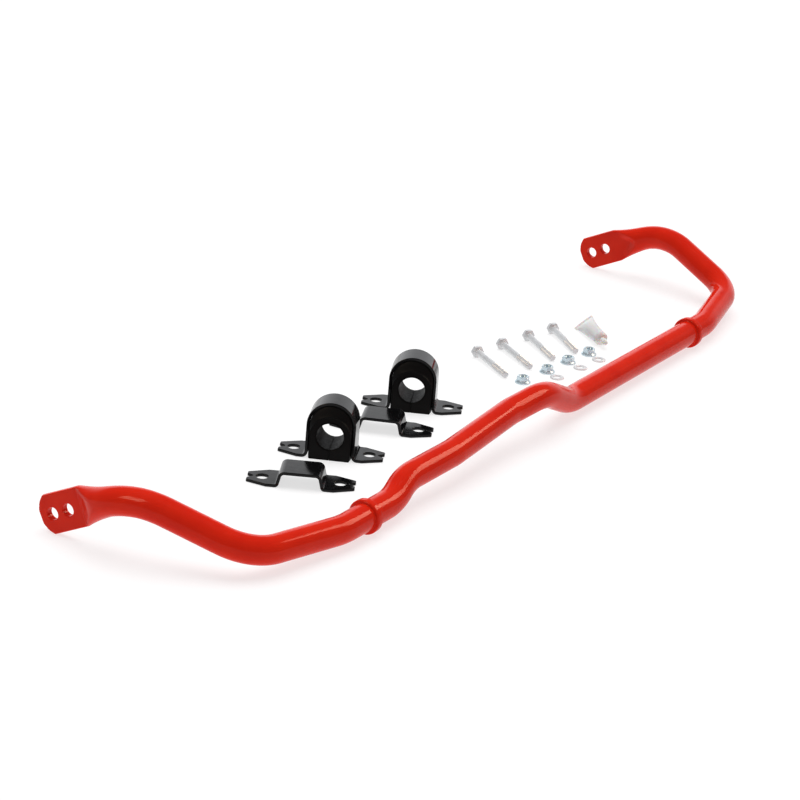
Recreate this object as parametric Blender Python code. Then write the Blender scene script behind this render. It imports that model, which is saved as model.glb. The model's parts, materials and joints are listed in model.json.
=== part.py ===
"""Anti-roll (sway) bar kit for a car's suspension, laid out on a bench.

The kit holds the steel bar with its two locating collars, two split bushes in
their saddles, two hat-shaped backing straps, four bolts, flange nuts and
washers, and a small capped tube of bush grease. Everything stands or lies on
the plane z = 0. Lengths are written in millimetres and turned into metres.
"""
import math

import bmesh
import bpy
from mathutils import Matrix, Vector

MM = 0.001
CLEARANCE = 0.3                    # gap kept between touching pieces
KIT_CENTRE_Y = 114.35              # the bar's seats stand this far in front of the origin

# Bar
BAR_DIAMETER = 29.0
SEAT_HEIGHT = 18.0                 # axis of the bush seats, held up by the collars
COLLAR_DIAMETER = 2 * SEAT_HEIGHT
COLLAR_WIDTH = 9.0
COLLAR_X = 359.0
COLLAR_EDGE = [(1.5, 0.0), (0.4, 0.5), (0.0, 1.8)]     # (in from the rim, in from the face)
BLADE_HEIGHT = 40.4
BLADE_THICKNESS = 8.0
BLADE_CHAMFER = 1.2
BLADE_LENGTH = 53.0
BLADE_SLOPE = math.radians(26.5)   # the blades fall towards their tips
BLADE_END_RADIUS = 25.0
BLADE_END_ANGLES = [math.radians(14), math.radians(28), math.radians(41),
                    math.asin(BLADE_HEIGHT / 2 / BLADE_END_RADIUS)]
LINK_HOLE_DIAMETER = 13.0
LINK_HOLE_SPACING = 20.4
LINK_HOLE_FROM_END = 15.0
FLATTENING_LENGTH = 45.0           # round bar turns into flat blade over this length
RING_SPACING = 14.0
RING_GAP = 4.0                     # least distance from the flattening to the next ring
BLADE_FACE_STEPS = (0.35, 0.65, 0.85)    # points up the blade's face, as parts of its half height
CHAMFER_LIMIT = 0.9                # near the tip the chamfer starts no lower than this part

# Corners of the bar's centreline: (x, y, z above the seats, bend radius).
ARM_CORNERS = [
    (401.0, 0.0, 0.0, 112.0),
    (519.5, 24.0, 6.7, 56.0),
    (558.0, 134.0, 47.9, 74.0),
    (553.0, 196.0, 19.5, 90.0),
]
CENTRE_CORNERS = [
    (-309.0, 0.0, 0.0, 73.0),
    (-278.3, 5.2, 12.7, 73.0),
    (-194.2, 0.7, 16.0, 63.0),
    (-69.8, 3.8, 23.9, 63.0),
    (-9.7, -4.1, 29.3, 73.0),
    (58.4, 0.0, 0.0, 73.0),
]

# Saddles, bushes and straps
SHEET = 3.2
EAR_HALF_LENGTH = 55.5
EAR_HALF_DEPTH = 19.5
EAR_CORNER = 34.6                  # where the ear starts to narrow
EAR_TIP_HALF_DEPTH = 10.5
EAR_TIP_CHAMFER = (1.2, 1.0)       # along the ear, and across it
EAR_HOLE_DIAMETER = 12.6
EAR_HOLE_X = 40.0
NOTCH_DEPTH = 6.0
NOTCH_HALF_WIDTH = 4.0             # at its mouth
NOTCH_ROOT_HALF_WIDTH = 0.8
SADDLE_RADIUS = 26.0               # outside of the arch
SADDLE_ARCH_HEIGHT = 35.5          # centre of the arch
SADDLE_ARCH_HALF_DEPTH = 15.5
SADDLE_FOOT_RADIUS = 3.0
BUSH_LENGTH = 43.0
BUSH_BORE_HEIGHT = 26.0
BUSH_FACE_RADIUS = 21.6
BUSH_SHOULDER = 6.5
BUSH_SLIT = 0.6
BUSH_CORNER = 1.5
STRAP_HEIGHT = 17.0
STRAP_HALF_DEPTH = 18.5
STRAP_INNER_HALF_WIDTH = 19.3      # under the roof
STRAP_FLARE = 1.6                  # the walls lean out by this much at their feet
STRAP_BEND_RADIUS = 3.4
STRAP_FOOT_RADIUS = 1.4

# Fasteners, thread size M8
THREAD_DIAMETER = 8.0
BOLT_LENGTH = 70.0
BOLT_HEAD_HEIGHT = 5.3
BOLT_SHANK_DIAMETER = 7.6
BOLT_TIP_CHAMFER = 1.0
THREADED_LENGTH = 30.0
HEX_ACROSS_FLATS = 13.0
NUT_HEIGHT = 8.0
NUT_ACROSS_FLATS = 12.6
NUT_FLANGE_DIAMETER = 17.9
NUT_FLANGE_RIM = 1.2               # straight edge of the flange
NUT_FLANGE_HEIGHT = 3.0            # where its slope meets the hexagon
WASHER_DIAMETER = 16.0
WASHER_BORE = 8.6
WASHER_THICKNESS = 1.6
ROUND_SIDES = 24
BOLT_LIFT = 0.2                    # the drooping bolt then rests on the rim of its head

# Grease tube
TUBE_AXIS_HEIGHT = 8.4
TUBE_RADIUS = 8.2
TUBE_BODY_LENGTH = 60.0
TUBE_CRIMP_WIDTH = 26.0
TUBE_CRIMP_HALF_THICKNESS = 0.7
TUBE_SHAPE = [(0.0, 0.0), (5.0, 0.0), (14.0, 0.35), (26.0, 0.68),
              (40.0, 0.92), (TUBE_BODY_LENGTH, 1.0)]     # (distance, how round it is)
TUBE_SHOULDER_LENGTH = 5.0
TUBE_SHOULDER_BEND = (0.6, 0.8)    # where the shoulder turns in: (part of length, part of radius)
TUBE_CRIMP_TILT = math.radians(37.0)   # the crimp is rolled over about the tube's axis
SPOUT_RADIUS = 2.0
SPOUT_LENGTH = 9.0
CAP_RADIUS = 3.6
CAP_LENGTH = 11.0
CAP_OUTLINE = [(1.4, 11.0), (0.5, 9.8), (0.0, 0.8), (0.4, 0.0)]    # (in from the radius, height)
CAP_GAP = 0.4                      # between the cap's rim and the tube's shoulder

# Where the loose pieces lie: (x, y) from the middle of the bar's seats, and the
# direction in degrees that each piece's own x axis points.
SADDLES = {"left": (-205.7, 137.9, -65.3), "right": (-30.7, 145.6, -64.3)}
STRAPS = {"left": (-292.9, 118.2, -62.5), "right": (-109.0, 136.3, -66.5)}
BOLT_HEADS = [(157.8, 173.1, -123.6), (201.9, 165.0, -124.4),
              (249.0, 155.9, -128.0), (291.5, 146.0, -129.9)]
NUTS = [(118.4, 89.1, 12.0), (167.3, 84.2, 20.0), (211.7, 80.9, 8.0), (253.9, 75.9, 16.0)]
WASHERS = [(112.0, 66.1, 0.0), (158.2, 66.3, 0.0), (205.3, 61.3, 0.0), (244.4, 57.7, 0.0)]
GREASE_TUBE = (331.3, 125.5, -131.2)

COLOURS = {
    "red_powder_coat": ((0.62, 0.030, 0.012), 0.22, 0.0),
    "black_paint": ((0.012, 0.012, 0.014), 0.18, 0.0),
    "bush_polymer": ((0.014, 0.014, 0.014), 0.55, 0.0),
    "bolt_zinc": ((0.62, 0.63, 0.65), 0.35, 0.9),
    "nut_zinc": ((0.50, 0.58, 0.64), 0.28, 0.9),
    "tube_plastic": ((0.80, 0.80, 0.78), 0.35, 0.0),
}


def reset_scene():
    for item in list(bpy.data.objects):
        bpy.data.objects.remove(item, do_unlink=True)


def new_collection(name):
    collection = bpy.data.collections.new(name)
    bpy.context.scene.collection.children.link(collection)
    return collection


def make_materials():
    """One Principled material for each finish."""
    materials = {}
    for name, (colour, roughness, metallic) in COLOURS.items():
        material = bpy.data.materials.new(name)
        material.use_nodes = True
        shader = material.node_tree.nodes["Principled BSDF"]
        shader.inputs["Base Color"].default_value = (*colour, 1.0)
        shader.inputs["Roughness"].default_value = roughness
        shader.inputs["Metallic"].default_value = metallic
        materials[name] = material
    return materials


def add_object(name, mesh_builder, collection, material=None, matrix=None):
    """Turn a bmesh in millimetres into an object in metres."""
    bmesh.ops.scale(mesh_builder, vec=(MM, MM, MM), verts=mesh_builder.verts)
    bmesh.ops.recalc_face_normals(mesh_builder, faces=mesh_builder.faces)
    mesh = bpy.data.meshes.new(name)
    mesh_builder.to_mesh(mesh)
    mesh_builder.free()
    item = bpy.data.objects.new(name, mesh)
    collection.objects.link(item)
    if material:
        mesh.materials.append(material)
        mesh.shade_smooth()
        mesh.set_sharp_from_angle(angle=math.radians(35.0))
    if matrix:
        item.matrix_world = matrix
    return item


def place(x, y, z, turn_degrees):
    """Matrix of a loose piece: its spot on the bench and its direction."""
    spot = Vector((x, y - KIT_CENTRE_Y, z)) * MM
    return Matrix.Translation(spot) @ Matrix.Rotation(math.radians(turn_degrees), 4, "Z")


def cut(target, cutter):
    cutter.hide_render = True
    cutter.display_type = "WIRE"
    boolean = target.modifiers.new("cut_" + cutter.name, "BOOLEAN")
    boolean.operation = "DIFFERENCE"
    boolean.solver = "EXACT"
    boolean.object = cutter


def loft(rings):
    """Skin a list of equal closed rings of points and close both ends."""
    builder = bmesh.new()
    ring_verts = [[builder.verts.new(point) for point in ring] for ring in rings]
    count = len(rings[0])
    for first, second in zip(ring_verts, ring_verts[1:]):
        for i in range(count):
            j = (i + 1) % count
            builder.faces.new((first[i], first[j], second[j], second[i]))
    builder.faces.new(reversed(ring_verts[0]))
    builder.faces.new(ring_verts[-1])
    return builder


def turned(profile, sides=ROUND_SIDES):
    """Solid of revolution about z from a (radius, z) profile.

    A profile that starts on the axis also ends on it, and any other is a closed loop.
    """
    builder = bmesh.new()
    verts = [builder.verts.new((radius, 0.0, z)) for radius, z in profile]
    followers = verts[1:] if profile[0][0] == 0.0 else verts[1:] + verts[:1]
    edges = [builder.edges.new(pair) for pair in zip(verts, followers)]
    bmesh.ops.spin(builder, geom=verts + edges, cent=(0, 0, 0), axis=(0, 0, 1),
                   angle=math.tau, steps=sides, use_merge=True)
    bmesh.ops.remove_doubles(builder, verts=builder.verts, dist=0.001)
    return builder


def cylinder(radius, length, centre, axis, sides=ROUND_SIDES):
    builder = bmesh.new()
    turn = Vector((0, 0, 1)).rotation_difference(Vector(axis)).to_matrix().to_4x4()
    bmesh.ops.create_cone(builder, cap_ends=True, segments=sides, radius1=radius,
                          radius2=radius, depth=length,
                          matrix=Matrix.Translation(centre) @ turn)
    return builder


def prism(outline, height, base=0.0):
    """Straight prism over an (x, y) outline."""
    return loft([[(x, y, base) for x, y in outline],
                 [(x, y, base + height) for x, y in outline]])


# ---------------------------------------------------------------- the bar

def rounded_path(corners, spacing):
    """Centreline with an arc at every inner corner, sampled along its length."""
    points = [Vector(corners[0][:3])]
    for before, corner, after in zip(corners, corners[1:], corners[2:]):
        vertex = Vector(corner[:3])
        back = (Vector(before[:3]) - vertex).normalized()
        ahead = (Vector(after[:3]) - vertex).normalized()
        turn = math.pi - back.angle(ahead)
        tangent_length = corner[3] * math.tan(turn / 2)
        start = vertex + back * tangent_length
        centre = vertex + (back + ahead).normalized() * corner[3] / math.cos(turn / 2)
        arm_in = start - centre
        arm_out = vertex + ahead * tangent_length - centre
        steps = max(2, round(corner[3] * turn / spacing))
        for step in range(steps + 1):
            angle = turn * step / steps
            swing = arm_in * math.sin(turn - angle) + arm_out * math.sin(angle)
            points.append(centre + swing / math.sin(turn))
    points.append(Vector(corners[-1][:3]))
    return points


def bar_centreline():
    blade_run = Vector((0.0, math.cos(BLADE_SLOPE), -math.sin(BLADE_SLOPE)))
    tip = Vector(ARM_CORNERS[-1][:3]) + blade_run * BLADE_LENGTH
    arm = ARM_CORNERS + [(*tip, 0.0)]
    left_arm = [(-x, y, z, radius) for x, y, z, radius in reversed(arm)]
    points = rounded_path(left_arm + CENTRE_CORNERS + arm, RING_SPACING)
    lift = Vector((0.0, -KIT_CENTRE_Y, SEAT_HEIGHT))
    return [point + lift for point in points]


def bar_section(flat, half_height):
    """24-point section: a circle at flat = 0, a blade at flat = 1."""
    radius = BAR_DIAMETER / 2
    half_thickness = BLADE_THICKNESS / 2
    chamfer = BLADE_CHAMFER
    chamfer_start = max(half_height - chamfer, half_height * CHAMFER_LIMIT)
    quarter_blade = [(half_thickness, 0.0)]
    quarter_blade += [(half_thickness, half_height * part) for part in BLADE_FACE_STEPS]
    quarter_blade += [(half_thickness, chamfer_start), (half_thickness - chamfer, half_height)]
    section = []
    for quarter in range(4):
        for step in range(6):
            angle = math.radians(90 * quarter + 15 * step)
            circle = (radius * math.cos(angle), radius * math.sin(angle))
            across, up = quarter_blade[step] if quarter % 2 == 0 else quarter_blade[(6 - step) % 6]
            if quarter % 2 == 1 and step == 0:
                across, up = 0.0, half_height
            across = math.copysign(across, math.cos(angle) if abs(math.cos(angle)) > 1e-6 else 1.0)
            up = math.copysign(up, math.sin(angle) if abs(math.sin(angle)) > 1e-6 else 1.0)
            section.append((circle[0] + (across - circle[0]) * flat,
                            circle[1] + (up - circle[1]) * flat))
    return section


def blade_half_height(from_end):
    """Half height of the blade near its end, an arc with a short flat in its middle."""
    to_centre = BLADE_END_RADIUS * math.cos(BLADE_END_ANGLES[0]) - from_end
    if to_centre <= BLADE_END_RADIUS * math.cos(BLADE_END_ANGLES[-1]):
        return BLADE_HEIGHT / 2
    return math.sqrt(BLADE_END_RADIUS ** 2 - to_centre ** 2)


def build_bar(collection, cutters, material):
    points = bar_centreline()
    lengths = [0.0]
    for before, after in zip(points, points[1:]):
        lengths.append(lengths[-1] + (after - before).length)
    total = lengths[-1]
    flats = [BLADE_END_RADIUS * (math.cos(BLADE_END_ANGLES[0]) - math.cos(angle))
             for angle in BLADE_END_ANGLES]
    flats += [BLADE_LENGTH * 0.5, BLADE_LENGTH]
    flats += [BLADE_LENGTH + FLATTENING_LENGTH * part for part in (0.25, 0.5, 0.75, 1.0)]
    stations = flats + [total - value for value in flats]
    clear = BLADE_LENGTH + FLATTENING_LENGTH + RING_GAP
    stations += [length for length in lengths if clear < length < total - clear]
    stations.sort()
    rings = []
    for station in stations:
        index = max(i for i in range(len(lengths) - 1) if lengths[i] <= station)
        part = (station - lengths[index]) / (lengths[index + 1] - lengths[index])
        centre = points[index].lerp(points[index + 1], part)
        here = (points[index + 1] - points[index]).normalized()
        if part < 0.02 and 0 < index:      # on a point of the path: the mean of its two runs
            here = (here + (points[index] - points[index - 1]).normalized()).normalized()
        up = (Vector((0, 0, 1)) - here * here.z).normalized()
        across = up.cross(here)
        from_end = min(station, total - station)
        ramp = min(1.0, max(0.0, (from_end - BLADE_LENGTH) / FLATTENING_LENGTH))
        flat = (1.0 - ramp) ** 2
        section = bar_section(flat, blade_half_height(from_end))
        rings.append([centre + across * a + up * b for a, b in section])
    bar = add_object("bar", loft(rings), collection, material)
    for side, end, inward in (("left", points[0], points[1]), ("right", points[-1], points[-2])):
        direction = (inward - end).normalized()
        for number in range(2):
            centre = end + direction * (LINK_HOLE_FROM_END + LINK_HOLE_SPACING * number)
            hole = cylinder(LINK_HOLE_DIAMETER / 2, 3 * BLADE_THICKNESS, centre, (1, 0, 0))
            cutter = add_object(f"link_hole_{side}_{number + 1}", hole, cutters)
            cut(bar, cutter)


def build_collars(collection, material):
    """Plain rings pressed on beside the seats, with rounded outer edges."""
    outer = COLLAR_DIAMETER / 2
    inner = BAR_DIAMETER / 2 + CLEARANCE
    half = COLLAR_WIDTH / 2
    edge = [(outer - inwards, half - down) for inwards, down in COLLAR_EDGE]
    mirrored = [(radius, -height) for radius, height in reversed(edge)]
    profile = [(inner, half)] + edge + mirrored + [(inner, -half)]
    for side, sign in (("left", -1), ("right", 1)):
        turn = Matrix.Rotation(math.radians(90), 4, "Y")
        spot = Vector((sign * COLLAR_X, -KIT_CENTRE_Y, SEAT_HEIGHT)) * MM
        add_object(f"collar_{side}", turned(profile, 32), collection, material,
                   Matrix.Translation(spot) @ turn)


# ------------------------------------------------- saddles, straps and bushes

def arc_points(centre, radius, start_degrees, end_degrees, steps):
    points = []
    for step in range(steps + 1):
        angle = math.radians(start_degrees + (end_degrees - start_degrees) * step / steps)
        points.append((centre[0] + radius * math.cos(angle), centre[1] + radius * math.sin(angle)))
    return points


def ear_stations():
    """Distances along an ear from its tip to where it bends up."""
    return [EAR_HALF_LENGTH, EAR_HALF_LENGTH - EAR_TIP_CHAMFER[0], EAR_CORNER]


def ear_half_depth(x):
    x = abs(x)
    if x <= EAR_CORNER:
        return EAR_HALF_DEPTH
    if x >= EAR_HALF_LENGTH - 0.01:
        return EAR_TIP_HALF_DEPTH - EAR_TIP_CHAMFER[1]
    taper = (x - EAR_CORNER) / (EAR_HALF_LENGTH - EAR_CORNER)
    return EAR_HALF_DEPTH + (EAR_TIP_HALF_DEPTH - EAR_HALF_DEPTH) * taper


def bent_strip(name, half_outline, half_depth_at, matrix, collection, cutters, material):
    """Sheet bent along the x-z outline (its lower side), thickened upwards and outwards."""
    outline = half_outline + [(-x, z) for x, z in reversed(half_outline) if x > 0.01]
    count = len(outline)
    upper = []
    for i in range(count):
        before = Vector(outline[max(i - 1, 0)])
        after = Vector(outline[min(i + 1, count - 1)])
        here = Vector(outline[i])
        first = (here - before).normalized() if i > 0 else (after - here).normalized()
        second = (after - here).normalized() if i < count - 1 else first
        normal = Vector((first.y + second.y, -(first.x + second.x)))
        bend = max(math.cos(first.angle(second) / 2), 0.5) if first.length and second.length else 1.0
        normal = normal.normalized() * SHEET / bend
        upper.append((here.x + normal.x, here.y + normal.y))
    rings = []
    for (x, z), (top_x, top_z) in zip(outline, upper):
        half = half_depth_at(x, z)
        rings.append([(x, -half, z), (x, half, z), (top_x, half, top_z), (top_x, -half, top_z)])
    strip = add_object(name, loft(rings), collection, material, matrix)
    for side in (-1, 1):
        hole = cylinder(EAR_HOLE_DIAMETER / 2, 4 * SHEET, (side * EAR_HOLE_X, 0, SHEET / 2), (0, 0, 1))
        root = side * (EAR_HALF_LENGTH - NOTCH_DEPTH)
        mouth = side * (EAR_HALF_LENGTH + 1.0)     # a little past the tip, for a clean cut
        notch = [(root, -NOTCH_ROOT_HALF_WIDTH), (mouth, -NOTCH_HALF_WIDTH),
                 (mouth, NOTCH_HALF_WIDTH), (root, NOTCH_ROOT_HALF_WIDTH)]
        word = "a" if side < 0 else "b"
        cut(strip, add_object(f"{name}_hole_{word}", hole, cutters, None, matrix))
        notch_body = prism(notch, 4 * SHEET, -SHEET)
        cut(strip, add_object(f"{name}_notch_{word}", notch_body, cutters, None, matrix))
    return strip


def saddle_outline():
    """Lower side of the saddle's sheet, from the tip of one ear to the top of the arch."""
    inner = SADDLE_RADIUS - SHEET
    points = [(x, 0.0) for x in ear_stations()]
    foot = SADDLE_FOOT_RADIUS + SHEET
    points += arc_points((inner + foot, foot), foot, 270, 180, 5)
    points += arc_points((0.0, SADDLE_ARCH_HEIGHT), inner, 0, 90, 10)
    return points


def saddle_half_depth(x, z):
    if z <= 0.01:
        return ear_half_depth(x)
    rise = min(1.0, z / SADDLE_ARCH_HEIGHT)
    return EAR_HALF_DEPTH + (SADDLE_ARCH_HALF_DEPTH - EAR_HALF_DEPTH) * rise


def strap_outline():
    """Lower side of the hat-shaped strap, from one ear tip to the middle of its top."""
    inner = STRAP_INNER_HALF_WIDTH
    roof = STRAP_HEIGHT - SHEET
    foot = SHEET + STRAP_FOOT_RADIUS
    points = [(x, 0.0) for x in ear_stations()]
    points += arc_points((inner + STRAP_FLARE + foot, foot), foot, 270, 186, 4)
    points += arc_points((inner - STRAP_BEND_RADIUS, roof - STRAP_BEND_RADIUS), STRAP_BEND_RADIUS, 6, 90, 4)
    points.append((0.0, roof))
    return points


def strap_half_depth(x, z):
    return ear_half_depth(x) if z <= 0.01 else STRAP_HALF_DEPTH


def bush_section(half_width, arch_height, slit):
    """D-shaped outline in x-z with a narrow slit left open below the bore."""
    base = CLEARANCE
    corner = BUSH_CORNER
    points = [(slit, base), (half_width - corner, base), (half_width, base + corner)]
    points += arc_points((0.0, arch_height), half_width, 0, 180, 16)
    points += [(-half_width, base + corner), (-half_width + corner, base), (-slit, base)]
    bore = BAR_DIAMETER / 2
    opening = math.degrees(math.asin(slit / bore))
    inner = arc_points((0.0, BUSH_BORE_HEIGHT), bore, -90 - opening, -450 + opening, 24)
    return points + inner


def build_bush(side, place_matrix, collection, material):
    """Split bush: a tall D in the saddle, sloping at both ends to a smaller face."""
    body = bush_section(SADDLE_RADIUS - SHEET - CLEARANCE, SADDLE_ARCH_HEIGHT, BUSH_SLIT / 2)
    face = bush_section(BUSH_FACE_RADIUS, BUSH_BORE_HEIGHT, BUSH_SLIT / 2)
    half = BUSH_LENGTH / 2
    shoulder = half - BUSH_SHOULDER
    stations = [(-half, face), (-shoulder, body), (shoulder, body), (half, face)]
    rings = [[(x, y, z) for x, z in section] for y, section in stations]
    add_object(f"bush_{side}", loft(rings), collection, material, place_matrix)


# ---------------------------------------------------------------- fasteners

def hexagon(across_flats, turn_degrees=0.0):
    radius = across_flats / math.sqrt(3)
    return [(radius * math.cos(math.radians(60 * i + turn_degrees)),
             radius * math.sin(math.radians(60 * i + turn_degrees))) for i in range(6)]


def union(target, other):
    """Join another closed object into target and drop it."""
    joiner = target.modifiers.new("join", "BOOLEAN")
    joiner.operation = "UNION"
    joiner.solver = "EXACT"
    joiner.object = other
    other.hide_render = True
    other.display_type = "WIRE"


def build_bolt(number, x, y, turn_degrees, collection, cutters, material):
    """Hexagon bolt lying on a flat of its head and on the end of its thread."""
    head_axis = HEX_ACROSS_FLATS / 2
    droop = math.asin((head_axis - THREAD_DIAMETER / 2) / (BOLT_LENGTH + BOLT_HEAD_HEIGHT))
    turn = Matrix.Rotation(math.radians(90) + droop, 4, "Y")
    matrix = place(x, y, head_axis + BOLT_LIFT, turn_degrees) @ turn
    head = hexagon(HEX_ACROSS_FLATS, 30.0)
    bolt = add_object(f"bolt_{number}", prism(head, BOLT_HEAD_HEIGHT), collection, material, matrix)
    radius = THREAD_DIAMETER / 2
    neck = BOLT_SHANK_DIAMETER / 2
    end = BOLT_HEAD_HEIGHT + BOLT_LENGTH
    thread_start = end - THREADED_LENGTH
    inside_head = BOLT_HEAD_HEIGHT / 2
    shank = [(0.0, end), (radius - BOLT_TIP_CHAMFER, end), (radius, end - BOLT_TIP_CHAMFER),
             (radius, thread_start), (neck, thread_start - BOLT_TIP_CHAMFER),
             (neck, inside_head), (0.0, inside_head)]
    union(bolt, add_object(f"shank_{number}", turned(shank), cutters, None, matrix))


def build_nut(number, x, y, turn_degrees, collection, cutters, material):
    """Hexagon nut with a sloping flange, standing on the flange."""
    flange = NUT_FLANGE_DIAMETER / 2
    bore = THREAD_DIAMETER / 2 + CLEARANCE
    profile = [(bore, 0.0), (flange, 0.0), (flange, NUT_FLANGE_RIM),
               (NUT_ACROSS_FLATS / 2, NUT_FLANGE_HEIGHT), (bore, NUT_FLANGE_HEIGHT)]
    matrix = place(x, y, 0.0, turn_degrees)
    nut = add_object(f"nut_{number}", turned(profile), collection, material, matrix)
    inside_flange = NUT_FLANGE_RIM / 2
    body = add_object(f"nut_body_{number}",
                      prism(hexagon(NUT_ACROSS_FLATS), NUT_HEIGHT - inside_flange, inside_flange),
                      cutters, None, matrix)
    bore_cutter = add_object(f"nut_bore_{number}",
                             cylinder(bore, 3 * NUT_HEIGHT, (0, 0, NUT_HEIGHT / 2), (0, 0, 1)),
                             cutters, None, matrix)
    union(nut, body)
    cut(nut, bore_cutter)


def build_washer(number, x, y, collection, material):
    outer = WASHER_DIAMETER / 2
    inner = WASHER_BORE / 2
    profile = [(inner, 0.0), (outer, 0.0), (outer, WASHER_THICKNESS), (inner, WASHER_THICKNESS)]
    add_object(f"washer_{number}", turned(profile), collection, material, place(x, y, 0.0, 0.0))


# ---------------------------------------------------------------- grease tube

def ellipse_ring(distance, half_wide, half_thin, tilt, count=24):
    """Ring across the tube's axis (its own x axis), turned by tilt."""
    ring = []
    for i in range(count):
        angle = math.tau * i / count
        a = half_wide * math.cos(angle)
        b = half_thin * math.sin(angle)
        ring.append((distance, a * math.cos(tilt) - b * math.sin(tilt),
                     a * math.sin(tilt) + b * math.cos(tilt)))
    return ring


def build_grease_tube(collection, material):
    """Soft tube, flat at the crimp and round at the shoulder, with its filling."""
    x, y, turn_degrees = GREASE_TUBE
    matrix = place(x, y, TUBE_AXIS_HEIGHT, turn_degrees)
    rings = []
    crimp = TUBE_CRIMP_HALF_THICKNESS
    for distance, roundness in TUBE_SHAPE:
        wide = TUBE_CRIMP_WIDTH / 2 + (TUBE_RADIUS - TUBE_CRIMP_WIDTH / 2) * roundness
        thin = crimp + (TUBE_RADIUS - crimp) * math.sin(roundness * math.pi / 2)
        rings.append(ellipse_ring(distance, wide, thin, TUBE_CRIMP_TILT))
    spout_start = TUBE_BODY_LENGTH + TUBE_SHOULDER_LENGTH
    bend = TUBE_BODY_LENGTH + TUBE_SHOULDER_LENGTH * TUBE_SHOULDER_BEND[0]
    bend_radius = TUBE_RADIUS * TUBE_SHOULDER_BEND[1]
    for distance, radius in ((bend, bend_radius), (spout_start, SPOUT_RADIUS),
                             (spout_start + SPOUT_LENGTH, SPOUT_RADIUS)):
        rings.append(ellipse_ring(distance, radius, radius, TUBE_CRIMP_TILT))
    add_object("grease_tube", loft(rings), collection, material, matrix)
    # The cap is turned about z, then laid along the tube's axis.
    bore = SPOUT_RADIUS + CLEARANCE
    depth = SPOUT_LENGTH + CLEARANCE
    outside = [(CAP_RADIUS - inwards, height) for inwards, height in CAP_OUTLINE]
    profile = [(0.0, CAP_LENGTH)] + outside + [(bore, 0.0), (bore, depth), (0.0, depth)]
    rim = Matrix.Translation(Vector((spout_start + CAP_GAP, 0, 0)) * MM)
    along = rim @ Matrix.Rotation(math.radians(90), 4, "Y")
    add_object("grease_cap", turned(profile), collection, material, matrix @ along)


def main():
    reset_scene()
    kit = new_collection("sway_bar")
    cutters = new_collection("sway_bar_cutters")
    materials = make_materials()
    build_bar(kit, cutters, materials["red_powder_coat"])
    build_collars(kit, materials["red_powder_coat"])
    for side, (x, y, turn_degrees) in SADDLES.items():
        matrix = place(x, y, 0.0, turn_degrees)
        bent_strip(f"saddle_{side}", saddle_outline(), saddle_half_depth, matrix, kit, cutters,
                   materials["black_paint"])
        build_bush(side, matrix, kit, materials["bush_polymer"])
    for side, (x, y, turn_degrees) in STRAPS.items():
        bent_strip(f"strap_{side}", strap_outline(), strap_half_depth, place(x, y, 0.0, turn_degrees),
                   kit, cutters, materials["black_paint"])
    for number, spot in enumerate(BOLT_HEADS, 1):
        build_bolt(number, *spot, kit, cutters, materials["bolt_zinc"])
    for number, spot in enumerate(NUTS, 1):
        build_nut(number, *spot, kit, cutters, materials["nut_zinc"])
    for number, (x, y, _) in enumerate(WASHERS, 1):
        build_washer(number, x, y, kit, materials["bolt_zinc"])
    build_grease_tube(kit, materials["tube_plastic"])


main()
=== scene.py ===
import json
import math

import bmesh
import bpy
import numpy as np
from mathutils import Matrix, Vector


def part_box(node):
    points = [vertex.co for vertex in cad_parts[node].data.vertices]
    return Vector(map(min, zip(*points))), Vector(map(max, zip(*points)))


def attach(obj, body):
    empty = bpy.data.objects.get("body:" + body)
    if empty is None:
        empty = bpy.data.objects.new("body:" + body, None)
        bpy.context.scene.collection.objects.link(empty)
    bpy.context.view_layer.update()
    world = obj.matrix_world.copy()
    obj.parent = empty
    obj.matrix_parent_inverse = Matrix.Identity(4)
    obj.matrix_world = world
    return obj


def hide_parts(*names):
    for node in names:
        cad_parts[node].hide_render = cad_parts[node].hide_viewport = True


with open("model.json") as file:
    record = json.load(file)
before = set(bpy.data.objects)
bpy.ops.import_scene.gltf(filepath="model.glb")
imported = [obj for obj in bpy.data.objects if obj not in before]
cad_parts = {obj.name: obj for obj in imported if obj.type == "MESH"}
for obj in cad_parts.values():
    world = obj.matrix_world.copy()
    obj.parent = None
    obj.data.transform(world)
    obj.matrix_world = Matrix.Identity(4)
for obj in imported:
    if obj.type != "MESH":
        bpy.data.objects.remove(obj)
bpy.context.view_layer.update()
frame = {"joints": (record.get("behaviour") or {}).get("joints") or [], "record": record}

MM = 0.001

# Bar
BAR_RADIUS = 14.5
COLLAR_RADIUS = 18.0
COLLAR_HALF_WIDTH = 4.5
COLLAR_FILLET = 2.0
BLADE_HALF_HEIGHT = 20.2
BLADE_HALF_THICKNESS = 4.0
BLADE_X = 553.0                        # middle of each blade's thickness
BLADE_LENGTH = 53.0
BLADE_SLOPE = math.radians(26.5)
BLADE_END_RADIUS = 25.0
BLADE_FLAT_ANGLE = math.radians(14)    # the CAD blade's end is flat up to this angle of its arc
BLADE_ARC_ANGLE = math.radians(41)     # the end's arc, then a straight clipped corner
BLADE_CORNER_RISE = 0.92               # half height gained per length on the clipped corner
TIP_ROUNDING = 1.3
LINK_HOLE_RADIUS = 6.5
LINK_HOLE_SPACING = 20.4
LINK_HOLE_FROM_END = 15.0
LINK_HOLE_EDGE = ((4.0, 4.0), (0.7, 0.1), (0.2, -0.5), (0.0, -0.8))    # radius and height gained
FLATTENING_LENGTH = 45.0
NECK_SWELL = 2.0                       # the neck leans outwards by this much behind the blade
NECK_LENGTH = 80.0
OUTER_DIE = (19.0, 46.0, 1.6)          # how the forging dies stand back: depth, length, power
INNER_DIE = (14.0, 24.0, 1.4)
INNER_DIE_START = 74.0                 # from the blade's end, halfway up its height
INNER_DIE_CROWN = 16.0                 # it starts earlier by this much at the top and bottom
EDGE_SHARPNESS = 24                    # higher is a tighter corner between flat and round
PAINT_BEAD = ((0.02, 0.5), (0.27, 0.18), (0.72, 0.0))                  # radius and width gained
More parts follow.
